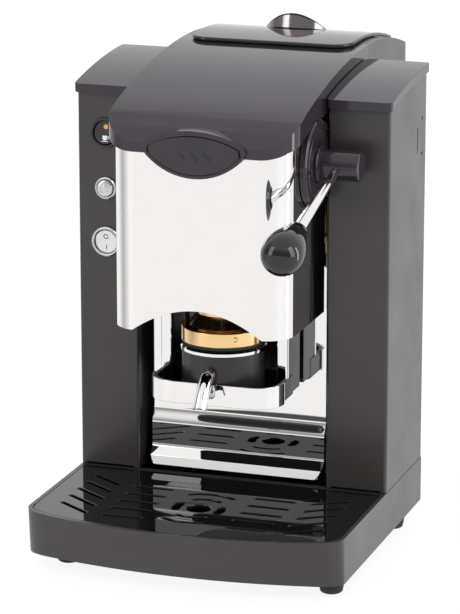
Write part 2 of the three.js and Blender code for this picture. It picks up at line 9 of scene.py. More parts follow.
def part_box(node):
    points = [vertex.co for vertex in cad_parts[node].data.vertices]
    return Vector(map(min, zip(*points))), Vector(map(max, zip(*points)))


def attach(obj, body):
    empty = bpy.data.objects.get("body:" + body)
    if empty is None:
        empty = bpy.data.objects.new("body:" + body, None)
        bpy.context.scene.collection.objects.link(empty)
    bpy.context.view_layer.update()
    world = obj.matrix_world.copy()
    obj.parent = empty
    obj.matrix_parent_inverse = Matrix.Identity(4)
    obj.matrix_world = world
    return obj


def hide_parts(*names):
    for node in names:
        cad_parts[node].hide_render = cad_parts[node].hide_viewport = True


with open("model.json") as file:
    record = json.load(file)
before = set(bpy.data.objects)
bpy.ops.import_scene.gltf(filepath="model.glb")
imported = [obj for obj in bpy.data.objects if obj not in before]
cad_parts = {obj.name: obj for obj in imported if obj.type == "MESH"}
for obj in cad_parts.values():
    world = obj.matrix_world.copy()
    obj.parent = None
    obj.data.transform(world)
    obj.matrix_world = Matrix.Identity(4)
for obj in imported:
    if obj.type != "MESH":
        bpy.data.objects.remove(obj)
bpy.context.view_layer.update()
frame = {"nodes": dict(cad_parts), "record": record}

MM = 0.001
FRONT_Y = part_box("tower_left")[0][1]    # the towers' front face, where the design's Y is 0

# Design sizes in mm, the same as in the CAD model or close to it. X is right, Y back and Z up.
GAP = 0.4                               # running gap between neighbouring pieces
SHEET = 1.2                             # steel sheet thickness
BREW_Y = -17.4                          # brew axis and lever axis, in front of the towers' face
LEVER_Z = 282.2
LEVER_TILT = math.radians(14.3)         # rod below horizontal at rest
ROD_X = 84
CONTROL_X = -94                         # switches and button stand in the left tower's front
POWER_Z, BUTTON_Z, BREW_SWITCH_Z = 290, 250, 211
SHELL_HALF, SHELL_FRONT, SHELL_CORNER, SHELL_BOTTOM = 64.5, -76, 21, 169
CRADLE_HALF, CRADLE_FRONT, CRADLE_CORNER = 48.5, -48.6, 20
CRADLE_BOTTOM, CRADLE_TOP = 111, 126.6
COLUMN_BOTTOM, COLUMN_TOP = 113, 250
PLATE_FRONT = 13.6                      # front face of the mirror plate
CREST_Y = 110                           # highest line of the head cover's arch
ROCKER_FRONT, ROCKER_LEAN = -1.5, 0.12  # middle of a rocker's face, and how far its halves lean forward


def at(x, y, z):
    """A point given in millimetres from the middle of the towers' front face, on the table."""
    return Vector((x * MM, FRONT_Y + y * MM, z * MM))


def design_y(y):
    """A depth in the frame, in metres, as a depth in the design, in mm."""
    return (y - FRONT_Y) / MM


# ---- materials ----
def link(tree, source, output, target, socket):
    tree.links.new(source.outputs[output], target.inputs[socket])


def node(tree, kind, **settings):
    made = tree.nodes.new(kind)
    for key, value in settings.items():
        if key in made.inputs:
            made.inputs[key].default_value = value
        else:
            setattr(made, key, value)
    return made


def noise(tree, coords, scale, detail=3.0, stretch=(1, 1, 1)):
    mapping = node(tree, "ShaderNodeMapping")
    mapping.inputs["Scale"].default_value = stretch
    link(tree, coords, "Object", mapping, "Vector")
    made = node(tree, "ShaderNodeTexNoise", Scale=scale, Detail=detail)
    link(tree, mapping, "Vector", made, "Vector")
    return made


def ramp(tree, source, low, high, start=0.3, end=0.7):
    made = node(tree, "ShaderNodeValToRGB")
    made.color_ramp.elements[0].position = start
    made.color_ramp.elements[1].position = end
    made.color_ramp.elements[0].color = low
    made.color_ramp.elements[1].color = high
    link(tree, source, "Fac", made, "Fac")
    return made


def grey(value):
    return (value, value, value, 1)


def shaded(rgb, amount):
    return tuple(min(1, c * amount) for c in rgb) + (1,)


def material(name, rgb, rough, metal=0.0, grain=(900, 0.03), stretch=(1, 1, 1), smudge=0.15,
             mottle=0.08, **sockets):
    """A principled surface with a grain bump, uneven gloss and a slight variation of colour."""
    made = bpy.data.materials.new(name)
    made.use_nodes = True
    tree = made.node_tree
    shader = tree.nodes["Principled BSDF"]
    shader.inputs["Metallic"].default_value = metal
    for key, value in sockets.items():
        shader.inputs[key.replace("_", " ")].default_value = value
    coords = node(tree, "ShaderNodeTexCoord")
    cloud = noise(tree, coords, 28, 4)
    gloss = ramp(tree, cloud, grey(rough * (1 - smudge)), grey(rough * (1 + smudge)))
    link(tree, gloss, "Color", shader, "Roughness")
    tone = noise(tree, coords, 60, 5, stretch)
    colour = ramp(tree, tone, shaded(rgb, 1 - mottle), shaded(rgb, 1 + mottle))
    link(tree, colour, "Color", shader, "Base Color")
    texture = noise(tree, coords, grain[0], 3, stretch)
    bump = node(tree, "ShaderNodeBump", Strength=grain[1], Distance=0.0005)
    link(tree, texture, "Fac", bump, "Height")
    link(tree, bump, "Normal", shader, "Normal")
    return made


looks = {
    "casing": material("satin_casing", (0.034, 0.0298, 0.0292), 0.3, grain=(1400, 0.04)),
    "cover": material("cover_lacquer", (0.022, 0.0178, 0.023), 0.08, grain=(700, 0.008),
                      Specular_Tint=(0.97, 0.94, 1, 1)),
    "gloss_black": material("gloss_black", (0.006, 0.0055, 0.0062), 0.035, grain=(300, 0.003), IOR=1.55),
    "chrome": material("chrome", (0.835, 0.82, 0.808), 0.025, 1.0, grain=(30, 0.0015), mottle=0.008),
    "steel": material("turned_steel", (0.6, 0.6, 0.61), 0.26, 1.0, grain=(700, 0.12)),
    "brass": material("brass", (0.86, 0.6, 0.3), 0.16, 1.0, grain=(500, 0.05), stretch=(0.06, 0.06, 1)),
    "rubber": material("rubber", (0.018, 0.018, 0.018), 0.75, grain=(1200, 0.3)),
    "matt_black": material("satin_black", (0.016, 0.016, 0.0165), 0.36, grain=(900, 0.06)),
    "white": material("white_plastic", (0.78, 0.77, 0.74), 0.22, grain=(600, 0.02), mottle=0.02),
    "tank": material("smoked_plastic", (0.05, 0.055, 0.065), 0.12, grain=(300, 0.02),
                     Transmission_Weight=0.6),
    "board": material("circuit_board", (0.02, 0.11, 0.05), 0.4, grain=(400, 0.15)),
    "tube": material("silicone_tube", (0.7, 0.7, 0.67), 0.3, grain=(300, 0.04)),
}
looks["smoked_chrome"] = material("smoked_chrome", (0.34, 0.31, 0.32), 0.12, 1.0, grain=(300, 0.004))
looks["amber"] = material("amber_mark", (0.8, 0.36, 0.04), 0.3, grain=(500, 0.02))
looks["ink"] = material("dark_ink", (0.03, 0.03, 0.035), 0.4, grain=(500, 0.02))


# ---- modifiers for the CAD nodes ----
def shade_by_angle(limit):
    """A modifier's node group: smooth faces, with every edge sharper than the limit left crisp."""
    tree = bpy.data.node_groups.new("shade_by_angle", "GeometryNodeTree")
    tree.interface.new_socket("Geometry", in_out="INPUT", socket_type="NodeSocketGeometry")
    tree.interface.new_socket("Geometry", in_out="OUTPUT", socket_type="NodeSocketGeometry")
    start, end = tree.nodes.new("NodeGroupInput"), tree.nodes.new("NodeGroupOutput")
    angle = tree.nodes.new("GeometryNodeInputMeshEdgeAngle")
    compare = tree.nodes.new("FunctionNodeCompare")
    compare.operation = "LESS_EQUAL"
    compare.inputs[1].default_value = limit
    edges, faces = (tree.nodes.new("GeometryNodeSetShadeSmooth") for _ in range(2))
    edges.domain, faces.domain = "EDGE", "FACE"
    tree.links.new(start.outputs[0], edges.inputs[0])
    tree.links.new(angle.outputs[0], compare.inputs[0])
    tree.links.new(compare.outputs[0], edges.inputs["Shade Smooth"])
    tree.links.new(edges.outputs[0], faces.inputs[0])
    tree.links.new(faces.outputs[0], end.inputs[0])
    return tree


SMOOTH = shade_by_angle(math.radians(32))


def soften(obj, width, segments=2, dissolve=True):
    """Rounded edges and smooth shading, all as modifiers."""
    if dissolve:
        obj.modifiers.new("merge_points", "WELD").merge_threshold = 0.002 * MM
        flat = obj.modifiers.new("merge_flat_faces", "DECIMATE")
        flat.decimate_type = "DISSOLVE"
        flat.angle_limit = math.radians(0.4)
    if width:
        bevel = obj.modifiers.new("edge_radius", "BEVEL")
        bevel.width = width * MM
        bevel.segments = segments
        bevel.limit_method = "ANGLE"
        bevel.angle_limit = math.radians(40)
        bevel.miter_outer = "MITER_ARC"
    obj.modifiers.new("shading", "NODES").node_group = SMOOTH
    weighted = obj.modifiers.new("face_normals", "WEIGHTED_NORMAL")
    weighted.keep_sharp = True


edge_radius = {"base_pan": 1.2, "tower_left": 0.9, "tower_right": 0.9, "head_cover": 0.8, "rear_housing": 0.8,
               "drip_grille": 0.8, "water_tank": 0.6}
slots = {row["node"]: row["material_slot"] for row in frame["record"]["subparts"]}
for name, obj in frame["nodes"].items():
    obj.data.materials.clear()
    obj.data.materials.append(looks[slots[name]])
    soften(obj, edge_radius.get(name, 0.2))
frame["nodes"]["drip_grille"].modifiers["edge_radius"].use_clamp_overlap = False


# ---- pieces made in mesh code ----
def arc(u, v, radius, start, end, steps):
    """Points of an arc about (u, v), in degrees."""
    turns = [math.radians(start + (end - start) * i / steps) for i in range(steps + 1)]
    return [(u + radius * math.cos(a), v + radius * math.sin(a)) for a in turns]


def loft(rings, closed=False):
    """A body through rings of points. A ring of one point is a pole. Closed joins last to first."""
    made = bmesh.new()
    verts = [[made.verts.new(point) for point in ring] for ring in rings]
    count = max(len(ring) for ring in rings)
    pairs = list(zip(verts, verts[1:] + verts[:1])) if closed else list(zip(verts, verts[1:]))
    for low, high in pairs:
        for i in range(count):
            j = (i + 1) % count
            corners = [low[i % len(low)], low[j % len(low)], high[j % len(high)], high[i % len(high)]]
            corners = list(dict.fromkeys(corners))
            if len(corners) > 2:
                made.faces.new(corners)
    if not closed:
        for ring in (verts[0], verts[-1]):
            if len(ring) > 2:
                made.faces.new(ring)
    bmesh.ops.recalc_face_normals(made, faces=made.faces)
    return made


def turned(profile, origin, direction, segments=64):
    """A body turned about a line, from (radius, distance along the line) pairs in mm."""
    rings = []
    for radius, along in profile:
        circle = arc(0, 0, radius, 0, 360 - 360 / segments, segments - 1) if radius else [(0, 0)]
        rings.append([(u * MM, v * MM, along * MM) for u, v in circle])
    body = loft(rings, closed=profile[0][0] > 0)
    turn = Vector((0, 0, 1)).rotation_difference(Vector(direction)).to_matrix().to_4x4()
    body.transform(Matrix.Translation(at(*origin)) @ turn)
    return body


def prism(outline, low, high, plane="xy"):
    """A closed outline in mm carried from low to high across its plane."""
    spot = {"xy": lambda u, v, w: at(u, v, w), "yz": lambda u, v, w: at(w, u, v),
            "xz": lambda u, v, w: at(u, w, v)}[plane]
    return loft([[spot(u, v, w) for u, v in outline] for w in (low, high)])


def piece(name, body_mesh, look, body, *nodes, edge=0.25, segments=2, slot=None):
    """Turns a mesh into a named piece that rides on a body and may stand for CAD nodes."""
    mesh = bpy.data.meshes.new(name)
    body_mesh.to_mesh(mesh)
    body_mesh.free()
    made = bpy.data.objects.new(name, mesh)
    bpy.context.collection.objects.link(made)
    mesh.materials.append(looks[look])
    soften(made, edge, segments, dissolve=False)
    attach(made, body)
    if nodes:
        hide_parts(*nodes)
    return made


def carve(obj, tool_mesh, operation="DIFFERENCE"):
    """Cuts a tool's shape out of a piece's mesh, once and for all."""
    mesh = bpy.data.meshes.new("tool")
    tool_mesh.to_mesh(mesh)
    tool_mesh.free()
    tool = bpy.data.objects.new("tool", mesh)
    bpy.context.collection.objects.link(tool)
    kept = [(m, m.show_viewport) for m in obj.modifiers]
    for m, _ in kept:
        m.show_viewport = False
    cutter = obj.modifiers.new("cut", "BOOLEAN")
    cutter.operation, cutter.object, cutter.solver = operation, tool, "EXACT"
    bpy.context.view_layer.update()
    result = bpy.data.meshes.new_from_object(obj.evaluated_get(bpy.context.evaluated_depsgraph_get()))
    obj.modifiers.remove(cutter)
    obj.data = result
    for m, shown in kept:
        m.show_viewport = shown
    bpy.data.objects.remove(tool)


def nodes_named(start):
    return sorted(name for name in frame["nodes"] if name.startswith(start))


FORWARD = (0, -1, 0)
BACKWARD = (0, 1, 0)
RIGHT = (1, 0, 0)
UP = (0, 0, 1)


def lever():
    """Hub, rod and knob of the side lever, and the boss that it turns in."""
    axis = (0, BREW_Y, LEVER_Z)
    along_rod = (0, -math.cos(LEVER_TILT), -math.sin(LEVER_TILT))
    boss = [(12, 64.9), (31, 64.9), (31, 68.4), (29.8, 69.8), (27.5, 69.8), (27, 69.3), (24.5, 69.3),
            (24, 69.8), (12, 69.8)]
    piece("boss", turned(boss, axis, RIGHT, 96), "cover", "chassis", "lever_boss", edge=0.3,
          slot="gloss_black")
    hub = [(0, 70.1), (13.7, 70.1), (13.7, 71.4), (13.2, 72), (10.6, 72.4), (10.6, 98.2), (10.2, 99.3),
           (9.2, 99.9), (6, 100), (0, 100)]
    piece("hub", turned(hub, axis, RIGHT, 72), "cover", "lever", "lever_hub", slot="gloss_black")
    root = (ROD_X, BREW_Y, LEVER_Z)
    rod = [(0, 8.4), (2.9, 8.4), (4.3, 99.2), (0, 99.2)]
    piece("rod", turned(rod, root, along_rod, 48), "chrome", "lever", "lever_rod", edge=0.1)
    knob = [(0, 99.6), (6.4, 99.6), (7.6, 100.2), (7.9, 101.4), (8.3, 104), (9.4, 108), (11, 113),
            (12.6, 118.5), (13.9, 124), (14.6, 129.5), (14.5, 134.5), (13.1, 139.8), (10.2, 143.8),
            (6.4, 146), (3.2, 146.8), (0, 147)]
    made = piece("knob", turned(knob, root, along_rod, 64), "gloss_black", "lever", "lever_knob", edge=0)
    made.modifiers.new("round_profile", "SUBSURF").levels = 2
    made.modifiers["round_profile"].render_levels = 2


def controls():
    """Bezels of the two rockers and of the push button, and the button itself, in the left tower."""
    for name, z, flange, bore, node_name, look in (
            ("power_ring", POWER_Z, 11, 8.9, "power_bezel", "matt_black"),
            ("brew_ring", BREW_SWITCH_Z, 11, 8.9, "brew_bezel", "steel"),
            ("button_ring", BUTTON_Z, 8.2, 6.3, "button_bezel", "steel")):
        profile = [(bore, -1.6), (bore + 0.5, -2.2), (flange - 0.9, -2.2), (flange - 0.2, -1.6),
                   (flange, -0.4), (flange - 1.1, -0.4), (flange - 1.1, 14), (bore, 14)]
        piece(name, turned(profile, (CONTROL_X, 0, z), BACKWARD, 72), look, "chassis", node_name, edge=0.15)
    cap = [(0, -3.5), (2.6, -3.5), (2.8, -3.2), (3.2, -3.2), (3.4, -3.45), (5, -3.4), (5.7, -3), (6, -2.4),
           (6, 8), (0, 8)]
    piece("button", turned(cap, (CONTROL_X, 0, BUTTON_Z), BACKWARD, 64), "steel", "push_button",
          "push_button", edge=0.12)


def group():
    """Brass brew head, pod holder with its ring, and their small parts."""
    axis = (0, BREW_Y, 0)
    brass = [(0, 154.4), (20, 154.4), (20, 152.4), (29.4, 152.4), (30, 153), (30, 162.6), (29.2, 163.5),
             (24.2, 163.5), (18.8, 172), (18.8, 184), (0, 184)]
    piece("piston", turned(brass, axis, UP, 96), "brass", "brew_head", "brew_piston", edge=0.3)
    outward = Vector((17, -24.7, 0)).normalized()
    pin = [(0, 29.2), (1.9, 29.2), (1.9, 30.1), (1.5, 30.5), (1.1, 30.5), (0.9, 29.8), (0, 29.8)]
    piece("piston_pin", turned(pin, (0, BREW_Y, 158.6), outward, 32), "brass", "brew_head", edge=0.1)
    ring = [(23.4, 145.9), (30.2, 145.9), (30.5, 146.4), (30.5, 148.4), (29.6, 149.5), (28.6, 149.7),
            (23.4, 149.7)]
    piece("ring", turned(ring, axis, UP, 96), "chrome", "chassis", "holder_ring", edge=0.2)
    holder = [(2.2, 112.6), (28, 112.6), (28, 118), (29.5, 119.5), (29.5, 145.6), (23, 145.6), (21.5, 137),
              (6, 134.5), (2.2, 134.5)]
    piece("holder", turned(holder, axis, UP, 96), "matt_black", "chassis", "pod_holder", edge=0.4)
    gasket = [(20.4, 150.1), (28.6, 150.1), (28.6, 152.1), (20.4, 152.1)]
    piece("gasket", turned(gasket, axis, UP, 72), "rubber", "brew_head", "piston_gasket", edge=0.4)


def bent_front(half, front, corner, back, steps=20):
    """Plan of a sheet that runs forward from the back, round a corner, across the front and back again."""
    right = [(half, back), (half, back + (front + corner - back) * 0.5)]
    right += arc(half - corner, front + corner, corner, 0, -90, steps)
    across = [((half - corner) * (1 - 2 * i / steps), front) for i in range(1, steps)]
    return right + across + [(-x, y) for x, y in reversed(right)]


def cover_z(y):
    """Height of the head cover's arch at a depth y, as in the CAD model."""
    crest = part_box("rear_housing")[1][2] / MM
    lip_y, lip_reach, lip_drop = -50, 29, 9.1
    lip = lip_drop * ((lip_y - y) / lip_reach) ** 2 if y < lip_y else 0
    return crest - 0.00092 * (CREST_Y - y) ** 2 - lip


def shell():
    """The chrome head shell, bent from one sheet round two corners, with an arch cut in its front."""
    back = PLATE_FRONT - GAP
    outer = bent_front(SHELL_HALF, SHELL_FRONT, SHELL_CORNER, back)
    inner = bent_front(SHELL_HALF - SHEET, SHELL_FRONT + SHEET, SHELL_CORNER - SHEET, back)
    opening_half, opening_rise, under_cover = 47, 17, 8
    rings = []
    for (x, y), (u, v) in zip(outer, inner):
        in_front = y < SHELL_FRONT + 3
        low = SHELL_BOTTOM + (opening_rise * max(0, 1 - (x / opening_half) ** 2) if in_front else 0)
        high = cover_z(y) - under_cover
        rings.append([at(x, y, high), at(x, y, low), at(u, v, low), at(u, v, high)])
    piece("shell", loft(rings), "chrome", "chassis", "head_shell", edge=0.2)


def cradle():
    """The cradle under the pod holder: a black tray, a chrome band round its front and two screws."""
    rear, corner, band_back = 3, 8, -27
    outer = bent_front(CRADLE_HALF, CRADLE_FRONT, CRADLE_CORNER, band_back)
    inner = bent_front(CRADLE_HALF - SHEET, CRADLE_FRONT + SHEET, CRADLE_CORNER - SHEET, band_back)
    rings = [[at(x, y, CRADLE_TOP), at(x, y, CRADLE_BOTTOM), at(u, v, CRADLE_BOTTOM), at(u, v, CRADLE_TOP)]
             for (x, y), (u, v) in zip(outer, inner)]
    piece("cradle_band", loft(rings), "chrome", "chassis", "cradle", edge=0.3, segments=3)

    def plan(inset):
        """The tray's outline, just inside the band and then further in by the inset."""
        inwards = SHEET + 0.1 + inset
        half, back = CRADLE_HALF - inwards, rear - inset
        front = bent_front(half, CRADLE_FRONT + inwards, CRADLE_CORNER - inwards, rear - corner)[1:-1]
        return (front + arc(corner - half, back - corner, corner, 180, 90, 8)
                + arc(half - corner, back - corner, corner, 90, 0, 8))
    tray = loft([[at(x, y, z) for x, y in plan(inset)] for inset, z in
                 ((2.5, 113.5), (2.5, 126.2), (0, 126.2), (0, 112), (1, 111))])
    piece("cradle_tray", tray, "matt_black", "chassis", edge=0.3)
    screw = [(0, 0.2), (3.1, 0.2), (3.1, 0.8), (2.7, 1.6), (1.7, 2), (1.6, 1.2), (0, 1.2)]
    piece("cradle_bolt", turned(screw, (1.1, CRADLE_FRONT, 119.4), FORWARD, 40), "steel", "chassis",
          "cradle_screw", edge=0.12)
    piece("rear_bolt", turned(screw, (42, rear, 117.5), BACKWARD, 40), "steel", "chassis", edge=0.12)


def columns():
    """The two columns that the cradle hangs from: black cores with a bright cap on the front."""
    for name, side in (("left", -1), ("right", 1)):
        low, high = (abs(corner[0]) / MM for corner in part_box("column_" + name))
        inner, outer = min(low, high), max(low, high)
        corner, cap_back, inset = 1.4, BREW_Y + 4, 0.3
        cap = [(inner, cap_back)] + arc(inner + corner, BREW_Y + corner, corner, 180, 270, 8)
        cap += arc(outer - corner, BREW_Y + corner, corner, 270, 360, 8) + [(outer, cap_back)]
        piece(name + "_column_cap", prism([(side * x, y) for x, y in cap], COLUMN_BOTTOM, COLUMN_TOP),
              "chrome", "chassis", "column_" + name, edge=0.15)
        core = [(x, y) for x, y in ((inner + inset, cap_back), (outer - inset, cap_back),
                                    (outer - inset, PLATE_FRONT - GAP), (inner + inset, PLATE_FRONT - GAP))]
        piece(name + "_column_core", prism([(side * x, y) for x, y in core], COLUMN_BOTTOM, COLUMN_TOP),
              "matt_black", "chassis", edge=0.4)


def back_plate():
    """The mirror plate steps back above the cups. At its foot it turns forward steeply, then less so."""
    front, back, half, top = PLATE_FRONT, PLATE_FRONT + 4, 66, 300
    step_z, step_height, steps = 75.5, 11, 14
    rise = [(0.5 - 0.5 * math.cos(math.pi * i / steps), i / steps) for i in range(steps + 1)]
    step = [(front + (back - front) * share, step_z + step_height * up) for share, up in rise]
    steep, shallow, bend_steps = math.radians(44), math.radians(27), 6
    bend = [(steep * i / bend_steps, 0.5) for i in range(1, bend_steps + 1)]
    foot = [(front, 60)]
    for turn, run in bend + [(steep, 6.5), ((steep + shallow) / 2, 0.6), (shallow, 6.2)]:
        y, z = foot[-1]
        foot.append((y - run * math.sin(turn), z - run * math.cos(turn)))
    face = foot[::-1] + step + [(back, top)]
    rear = [(y + SHEET, z) for y, z in reversed(face)]
    plate = piece("mirror_plate", prism(face + rear, -half, half, "yz"), "chrome", "chassis", "back_plate",
                  edge=0.2)
    toe, corner, foot_half = foot[-1][0], 6, 65
    plan = (arc(corner - foot_half, toe + corner, corner, 180, 270, 10)
            + arc(foot_half - corner, toe + corner, corner, 270, 360, 10))
    carve(plate, prism(plan + [(foot_half, 30), (-foot_half, 30)], 40, top + 10), "INTERSECT")


def arched_slab(plan, top, bottom, steps=40):
    """A plan carried between two heights that change with depth, cut across so that its faces bend evenly."""
    made = prism(plan, 0, 1)
    depths = [y for _, y in plan]
    for i in range(1, steps):
        y = min(depths) + (max(depths) - min(depths)) * i / steps
        bmesh.ops.bisect_plane(made, geom=made.verts[:] + made.edges[:] + made.faces[:],
                               plane_co=at(0, y, 0), plane_no=(0, 1, 0), dist=1e-7)
    for v in made.verts:
        y = design_y(v.co.y)
        v.co.z = (top(y) if v.co.z > 0.5 * MM else bottom(y)) * MM
    return made


def rounded_plan(name, corner, steps=8):
    """Plan of a CAD node's box, in mm, with rounded corners."""
    low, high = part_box(name)
    x0, x1 = low.x / MM + corner, high.x / MM - corner
    y0, y1 = design_y(low.y) + corner, design_y(high.y) - corner
    return (arc(x1, y1, corner, 0, 90, steps) + arc(x0, y1, corner, 90, 180, steps)
            + arc(x0, y0, corner, 180, 270, steps) + arc(x1, y0, corner, 270, 360, steps))


def arch(y):
    """Top of the head and tank arch."""
    return cover_z(y) if y < CREST_Y else cover_z(CREST_Y) - 0.00175 * (CREST_Y - y) ** 2


def lids():
    """Lids of the towers and of the tank, each bent along an arch and rounded at its corners."""
    bend, crest_y, thickness = 0.00099, 105, 6.3
    for name in ("lid_left", "lid_right"):
        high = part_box(name)[1]
        crest = high.z / MM + bend * (crest_y - design_y(high.y)) ** 2
        made = arched_slab(rounded_plan(name, 3), lambda y: crest - bend * (crest_y - y) ** 2,
                           lambda y: crest - thickness - bend * (crest_y - y) ** 2)
        piece(name.replace("lid", "tower_cap"), made, "cover", "chassis", name, edge=0.9, segments=3,
              slot="casing")
    made = arched_slab(rounded_plan("tank_lid", 14, 14), lambda y: arch(y) + 3.3, lambda y: arch(y) + 0.4)
    piece("filler_lid", made, "cover", "tank_lid", "tank_lid", edge=1.2, segments=4)


def pull():
    """The finger pull: a half dome with a bright, bowed front wall that a finger hooks behind."""
    half, middle_y, bow, back_reach, height = 23, 150, 12, 17, 11
    lean = 2.5                          # the wall's top stands further back than its foot by this
    first, last, half_skin = 0.06, 0.88, 0.3        # the facing's reach up the wall, and half its thickness
    radius = (half ** 2 + bow ** 2) / (2 * bow)
    ribs, steps = 40, 10

    def seat(y):
        return arch(y) + 3.5

    def wall(x, share, proud=0):
        """A point of the front wall, from its foot at share 0 to the rim at 1."""
        rise = 1.02 - (x / half) ** 2
        foot = middle_y - (math.sqrt(radius ** 2 - x ** 2) - radius + bow)
        y = foot + lean * rise * share - proud
        return y, seat(y) + height * rise * share

    def section(x):
        front = [wall(x, i / steps) for i in range(steps + 1)]
        rim_y, rim_z = front[-1]
        rise = rim_z - seat(rim_y)
        reach = back_reach * rise / height
        back = []
        for i in range(1, steps + 1):
            turn = math.pi / 2 * i / steps
            y = rim_y + reach * math.sin(turn)
            back.append((y, seat(y) + rise * math.cos(turn)))
        return [at(x, y, z) for y, z in front + back]

    dome = loft([section(-half * math.cos(math.pi * i / ribs)) for i in range(ribs + 1)])
    piece("pull_dome", dome, "gloss_black", "tank_lid", "lid_pull", edge=0.4)

    def skin(x):
        shares = [first + (last - first) * i / steps for i in range(steps + 1)]
        outside = [at(x, *wall(x, share, half_skin)) for share in shares]
        return outside + [at(x, *wall(x, share, -half_skin)) for share in reversed(shares)]

    facing = loft([skin(-0.93 * half * math.cos(math.pi * i / ribs)) for i in range(ribs + 1)])
    piece("pull_facing", facing, "smoked_chrome", "tank_lid", edge=0, slot="gloss_black")


def spout():
    """The open gutter that the coffee runs down, with a brass outlet above it."""
    path = [(-48.8, 133.2), (-52.5, 132.4), (-56, 130.4), (-59.5, 127.4), (-63, 123.2), (-66.4, 118.4),
            (-69.5, 113.6)]
    rings = []
    for i, (y, z) in enumerate(path):
        before, after = path[max(i - 1, 0)], path[min(i + 1, len(path) - 1)]
        run = math.atan2(after[1] - before[1], after[0] - before[0])
        side = Vector((0, math.sin(run), -math.cos(run))) * (-1 if math.cos(run) > 0 else 1)
        reach = 245 if i == 0 else 200
        section = arc(0, 0, 5, 270 - reach / 2, 270 + reach / 2, 20)
        section += arc(0, 0, 3.9, 270 + reach / 2, 270 - reach / 2, 20)
        rings.append([at(0, y, z) + (Vector((1, 0, 0)) * u - side * v) * MM for u, v in section])
    made = piece("gutter", loft(rings), "chrome", "chassis", "spout", edge=0.25)
    nozzle = [(0, 46.2), (3.3, 46.2), (3.5, 49.5), (2.9, 51.4), (1.8, 51.8), (1.6, 50.5), (0, 50.5)]
    piece("outlet", turned(nozzle, (0, 0, 133.4), FORWARD, 40), "brass", "chassis", edge=0.15)


def lens_outline(half, up, down, offset, z, steps=28):
    """An eye-shaped outline: a flat arc above and a deeper one below, grown by offset."""
    points = []
    for sign, rise in ((1, up), (-1, down)):
        radius = (half ** 2 + rise ** 2) / (2 * rise)
        start = math.degrees(math.atan2(radius - rise, half))
        points += arc(0, z + sign * (rise - radius), radius + offset, sign * start, sign * (180 - start),
                      steps)[::sign]
    return points


def badge():
    """The oval badge on the head cover, with a plain wisp-of-steam motif."""
    outline = lens_outline(30, 7, 12.8, 3.3, 298.6)
    made = prism(outline, -81.2, -79.3, "xz")
    piece("badge_plate", made, "cover", "chassis", "badge", edge=0.35, segments=3)
    for shift, height in ((-9, 8), (0, 11), (9, 8)):
        left, right = [], []
        for i in range(25):
            t = i / 24
            x = shift + 2.2 * math.sin(2 * math.pi * t)
            z = 295.5 + height * (t - 0.5)
            half = 0.3 + 0.9 * math.sin(math.pi * t)
            left.append((x - half, z))
            right.append((x + half, z))
        motif = prism(left + right[::-1], -81.5, -81, "xz")
        piece("steam_%d" % (shift + 9), motif, "gloss_black", "chassis", edge=0.1)


def rocker(name, body, z, tilt, look):
    """A round rocker whose front is a shallow V, tipped so that one half is pressed in.

    The rocker's body and the CAD node that it stands for have the same name.
    """
    turn = Matrix.Translation(at(CONTROL_X, 1.2, z)) @ Matrix.Rotation(math.radians(tilt), 4, "X")
    rim = arc(0, 0, 8.4, -90, 270, 64)[:-1]
    made = loft([[(u * MM, 3 * MM, v * MM) for u, v in rim],
                 [(u * MM, (ROCKER_FRONT - ROCKER_LEAN * abs(v)) * MM, v * MM) for u, v in rim]])
    face = max(made.faces, key=lambda f: -f.calc_center_median().y)
    middle = [v for v in face.verts if abs(v.co.z) < 1e-6]
    bmesh.ops.connect_verts(made, verts=middle)
    made.transform(turn)
    piece(name, made, look, body, body, edge=0.45, segments=3)
    return turn


def mark(name, outlines, turn, look, body, slot):
    """A thin printed mark on a rocker's face, made of one or more closed outlines."""
    made = bmesh.new()
    for outline in outlines:
        part = loft([[(u * MM, (ROCKER_FRONT - ROCKER_LEAN * abs(v) - lift) * MM, v * MM) for u, v in outline]
                     for lift in (-0.3, 0.06)])
        holder = bpy.data.meshes.new("part")
        part.to_mesh(holder)
        made.from_mesh(holder)
        bpy.data.meshes.remove(holder)
        part.free()
    made.transform(turn)
    piece(name, made, look, body, edge=0, slot=slot)


def rockers():
    """The two rockers with their printed marks: a ring and a bar, and an amber lamp over a cup."""
    turn = rocker("brew_cap", "brew_rocker", BREW_SWITCH_Z, 8, "white")
    ring = arc(0, 4, 1.9, 0, 350, 35) + arc(0, 4, 1.3, 350, 0, 35)
    mark("mark_ring", [ring], turn, "ink", "brew_rocker", "matt_black")
    bar = [(-0.3, -5.8), (0.3, -5.8), (0.3, -2.4), (-0.3, -2.4)]
    mark("mark_bar", [bar], turn, "ink", "brew_rocker", "matt_black")
    turn = rocker("power_cap", "power_rocker", POWER_Z, -8, "matt_black")
    lamp = arc(0.4, 4, 1.7, 0, 350, 30)
    mark("mark_lamp", [lamp], turn, "amber", "power_rocker", "brass")
    cup = [(-1.9, -2.4)] + arc(-0.1, -4, 1.8, 180, 360, 12) + [(1.7, -2.4)]
    saucer = [(-2.6, -6.6), (2.4, -6.6), (2.4, -6.2), (-2.6, -6.2)]
    ear = arc(1.9, -3.6, 1.1, -80, 80, 10) + arc(1.9, -3.6, 0.7, 80, -80, 10)
    mark("mark_cup", [cup, saucer, ear], turn, "white", "power_rocker", "white")


